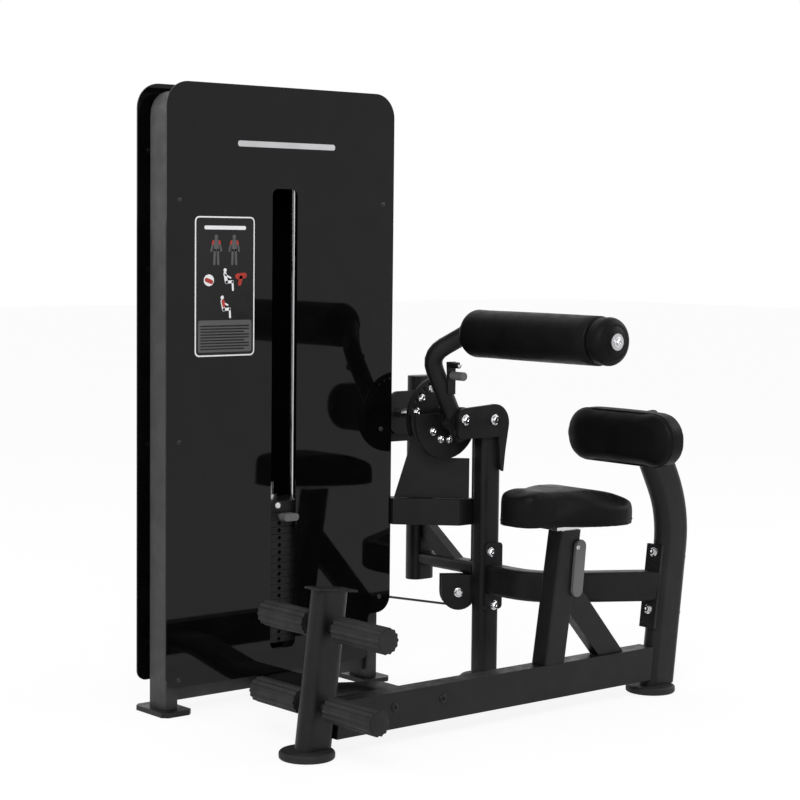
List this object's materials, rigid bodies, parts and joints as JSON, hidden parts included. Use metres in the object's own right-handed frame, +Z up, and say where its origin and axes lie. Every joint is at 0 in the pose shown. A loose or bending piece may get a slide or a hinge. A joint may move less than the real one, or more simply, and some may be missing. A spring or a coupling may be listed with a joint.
{
  "type": "seated abdominal machine",
  "caption": "Selectorized seated trunk machine: gloss weight-stack tower, low rail frame, saddle seat, lumbar pad, foot pegs and a roller pad on a pivoting arm.",
  "frame": {"origin": "on the floor, under the middle of the bounding box", "axes": "+Z up; +Y from the foot pegs towards the back pad; +X from the weight tower towards the rail"},
  "size_m": [0.875, 1.276, 1.5],
  "materials": {
    "frame_coat": "satin powder coat",
    "gloss_panel": "mirror gloss",
    "leg_coat": "satin powder coat",
    "leather": "soft sheen",
    "rubber": "matt",
    "chrome": "polished",
    "steel": "brushed",
    "plate_iron": "painted",
    "grey_plastic": "matt",
    "black_plastic": "matt",
    "cable_coat": "gloss"
  },
  "bodies": {
    "root": {"tower_frame": "leg_coat", "tower_foot_front": "frame_coat", "tower_foot_rear": "frame_coat", "front_panel": "gloss_panel", "rear_panel": "gloss_panel", "guide_rod_front": "chrome", "stack_bumper_front": "rubber", "guide_rod_rear": "chrome", "stack_bumper_rear": "rubber", "rod_top_bar": "frame_coat", "weight_plate_2": "plate_iron", "weight_plate_3": "plate_iron", "lower_weight_plates": "plate_iron", "low_pulley_guard": "frame_coat", "tower_pulley_bracket": "frame_coat", "top_pulley_bracket": "frame_coat", "main_cable": "cable_coat", "stack_cable": "cable_coat", "main_rail": "frame_coat", "front_foot": "rubber", "front_post": "frame_coat", "front_post_cap": "frame_coat", "peg_axle_lower": "frame_coat", "peg_grip_lower_left": "rubber", "peg_grip_lower_right": "rubber", "peg_axle_upper": "frame_coat", "peg_grip_upper_left": "rubber", "peg_grip_upper_right": "rubber", "rear_foot": "rubber", "rear_post": "frame_coat", "back_pad": "leather", "low_beam": "frame_coat", "arc_beam": "frame_coat", "crossbar": "frame_coat", "guard_plate": "frame_coat", "column": "frame_coat", "low_tube": "frame_coat", "upright_foot": "rubber", "upright": "frame_coat", "upright_head_plate": "frame_coat", "column_head_plate": "frame_coat", "seat_post": "frame_coat"},
    "cam_body": {"cam": "frame_coat", "pivot_shaft": "steel"},
    "arm_body": {"arm": "frame_coat", "roller_axle": "steel"},
    "roller": {"roller_pad": "leather"},
    "start_lever_body": {"start_lever": "frame_coat", "start_grip": "grey_plastic"},
    "lifted_stack": {"top_plate": "plate_iron", "selector_stem": "steel", "weight_plate_1": "plate_iron"},
    "selector_pin_body": {"selector_pin": "grey_plastic"},
    "seat": {"seat_stem": "chrome", "seat_pad": "leather"},
    "seat_lever_body": {"seat_lever": "grey_plastic"},
    "low_pulley_body": {"low_pulley": "black_plastic"},
    "tower_pulley_body": {"tower_pulley": "black_plastic"},
    "rise_pulley_body": {"rise_top_pulley": "black_plastic"},
    "stack_pulley_body": {"stack_top_pulley": "black_plastic"}
  },
  "joints": [
    {"name": "arm_stroke", "type": "hinge", "parent": "root", "child": "cam_body", "pos_m": [-0.1965, 0.15551, 0.686], "axis": [1, 0, 0], "range_deg": [0, 55]},
    {"name": "start_position", "type": "hinge", "parent": "cam_body", "child": "arm_body", "pos_m": [-0.1515, 0.15551, 0.686], "axis": [1, 0, 0], "range_deg": [-60, 0]},
    {"name": "roller_spin", "type": "hinge", "parent": "arm_body", "child": "roller", "pos_m": [0.1885, 0.12151, 0.908], "axis": [1, 0, 0], "continuous": true},
    {"name": "start_lever_pull", "type": "hinge", "parent": "arm_body", "child": "start_lever_body", "pos_m": [-0.1255, 0.11451, 0.756], "axis": [-1, 0, 0], "range_deg": [0, 8], "stiffness_Nm_per_rad": 0.6},
    {"name": "stack_lift", "type": "slide", "parent": "root", "child": "lifted_stack", "axis": [0, 0, 1], "range_m": [0, 0.0965], "deforming": ["stack_cable"]},
    {"name": "selector_pin_pull", "type": "slide", "parent": "lifted_stack", "child": "selector_pin_body", "axis": [1, 0, 0], "range_m": [0, 0.09]},
    {"name": "seat_height", "type": "slide", "parent": "root", "child": "seat", "axis": [0, 0.1512, 0.9885], "range_m": [0, 0.1]},
    {"name": "seat_lever_pull", "type": "hinge", "parent": "root", "child": "seat_lever_body", "pos_m": [0.214, 0.22151, 0.416], "axis": [0, -1, 0], "range_deg": [0, 20], "stiffness_Nm_per_rad": 0.6},
    {"name": "low_pulley_spin", "type": "hinge", "parent": "root", "child": "low_pulley_body", "pos_m": [-0.2165, 0.22551, 0.23], "axis": [0.8387, -0.5446, 0], "range_deg": [0, 155]},
    {"name": "tower_pulley_spin", "type": "hinge", "parent": "root", "child": "tower_pulley_body", "pos_m": [-0.36689, -0.00607, 0.267], "axis": [0.8387, -0.5446, 0], "range_deg": [0, 155]},
    {"name": "rise_pulley_spin", "type": "hinge", "parent": "root", "child": "rise_pulley_body", "pos_m": [-0.38406, -0.07218, 1.395], "axis": [-0.9977, -0.0677, 0], "range_deg": [0, 155]},
    {"name": "stack_pulley_spin", "type": "hinge", "parent": "root", "child": "stack_pulley_body", "pos_m": [-0.37294, -0.23607, 1.395], "axis": [-0.9977, -0.0677, 0], "range_deg": [0, 155]}
  ],
  "couplings": [
    {"joint": "stack_lift", "follows": "arm_stroke", "m_per_rad": 0.10019},
    {"joint": "low_pulley_spin", "follows": "arm_stroke", "ratio": 2.7831},
    {"joint": "tower_pulley_spin", "follows": "arm_stroke", "ratio": 2.7831},
    {"joint": "rise_pulley_spin", "follows": "arm_stroke", "ratio": 2.7831},
    {"joint": "stack_pulley_spin", "follows": "arm_stroke", "ratio": 2.7831}
  ]
}
